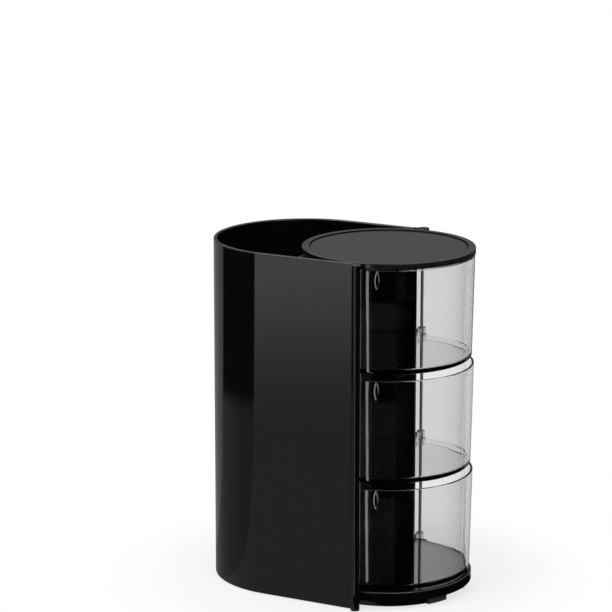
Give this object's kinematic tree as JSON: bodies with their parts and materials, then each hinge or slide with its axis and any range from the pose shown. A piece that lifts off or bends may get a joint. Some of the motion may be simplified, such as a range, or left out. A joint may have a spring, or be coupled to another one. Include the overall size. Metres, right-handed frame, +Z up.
{
  "type": "rotating accessory organizer",
  "caption": "Upright U-shaped case with an open well at the back, and a stack of clear round trays under a lid that swing out one by one about an upright rod.",
  "frame": {"origin": "on the standing plane, under the middle of the whole object's length and width", "axes": "+X towards the trays, +Y towards the wall that carries the hinge rod, +Z up"},
  "size_m": [0.167, 0.1214, 0.2148],
  "materials": {
    "black_shell": "high gloss",
    "black_panel": "high gloss",
    "clear_tray": "clear, polished",
    "steel": "bright",
    "washer": "natural",
    "foot_pad": "satin"
  },
  "bodies": {
    "case": {"case_shell": "black_shell", "well_divider": "black_shell", "base_floor": "black_shell", "plinth": "black_shell", "pivot_rod": "steel", "rod_clip": "steel", "case_screws": "steel", "plinth_screws": "steel", "foot_front_near": "foot_pad", "foot_front_far": "foot_pad", "foot_back_near": "foot_pad", "foot_back_far": "foot_pad", "washer_lower": "washer", "washer_middle": "washer", "washer_upper": "washer", "washer_lid": "washer"},
    "lid": {"lid": "black_shell", "lid_panel": "black_panel"},
    "tray_upper": {"tray_upper": "clear_tray"},
    "tray_middle": {"tray_middle": "clear_tray"},
    "tray_lower": {"tray_lower": "clear_tray"}
  },
  "joints": [
    {"name": "lid_swing", "type": "hinge", "parent": "case", "child": "lid", "pos_m": [0.0263, 0.057, 0.2103], "axis": [0, 0, 1], "range_deg": [0, 180]},
    {"name": "upper_tray_swing", "type": "hinge", "parent": "case", "child": "tray_upper", "pos_m": [0.0263, 0.057, 0.1767], "axis": [0, 0, 1], "range_deg": [0, 180]},
    {"name": "middle_tray_swing", "type": "hinge", "parent": "case", "child": "tray_middle", "pos_m": [0.0263, 0.057, 0.112], "axis": [0, 0, 1], "range_deg": [0, 180]},
    {"name": "lower_tray_swing", "type": "hinge", "parent": "case", "child": "tray_lower", "pos_m": [0.0263, 0.057, 0.0445], "axis": [0, 0, 1], "range_deg": [0, 180]}
  ]
}
